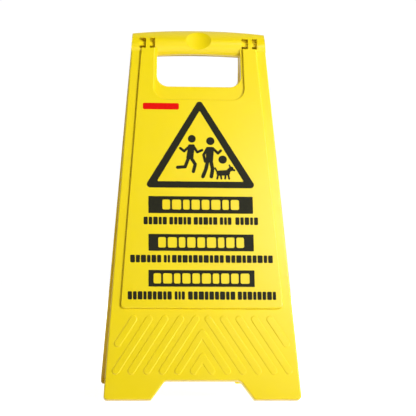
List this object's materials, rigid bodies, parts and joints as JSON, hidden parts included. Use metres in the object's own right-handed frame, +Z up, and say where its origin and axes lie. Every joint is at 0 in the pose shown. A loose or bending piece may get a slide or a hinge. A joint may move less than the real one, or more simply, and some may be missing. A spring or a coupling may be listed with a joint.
{
  "type": "folding floor sign",
  "caption": "Folding A-frame caution floor sign of two thin-walled plastic panels, hinged under a rounded carry grip, with a printed warning triangle and message bands.",
  "frame": {"origin": "on the floor, midway between the four feet of the open sign", "axes": "+Z up, +X across the sign to the right seen from the front panel's side, -Y towards the viewer of the front panel"},
  "size_m": [0.304, 0.3292, 0.5876],
  "materials": {
    "panel_plastic": "moulded, lightly textured satin",
    "black_ink": "printed ink, satin",
    "red_ink": "printed ink, satin"
  },
  "bodies": {
    "front": {"front_panel": "panel_plastic", "front_triangle_border": "black_ink", "front_figure_left": "black_ink", "front_figure_right": "black_ink", "front_ball": "black_ink", "front_animal": "black_ink", "front_tab": "red_ink", "front_banner_upper": "black_ink", "front_banner_middle": "black_ink", "front_banner_lower": "black_ink", "front_caption_upper": "black_ink", "front_caption_middle": "black_ink", "front_caption_lower": "black_ink"},
    "rear": {"rear_panel": "panel_plastic", "rear_triangle_border": "black_ink", "rear_figure_left": "black_ink", "rear_figure_right": "black_ink", "rear_ball": "black_ink", "rear_animal": "black_ink", "rear_tab": "red_ink", "rear_banner_upper": "black_ink", "rear_banner_middle": "black_ink", "rear_banner_lower": "black_ink", "rear_caption_upper": "black_ink", "rear_caption_middle": "black_ink", "rear_caption_lower": "black_ink"}
  },
  "joints": [
    {"name": "fold", "type": "hinge", "parent": "front", "child": "rear", "pos_m": [0, 0, 0.56141], "axis": [-1, 0, 0], "range_deg": [0, 30]}
  ]
}
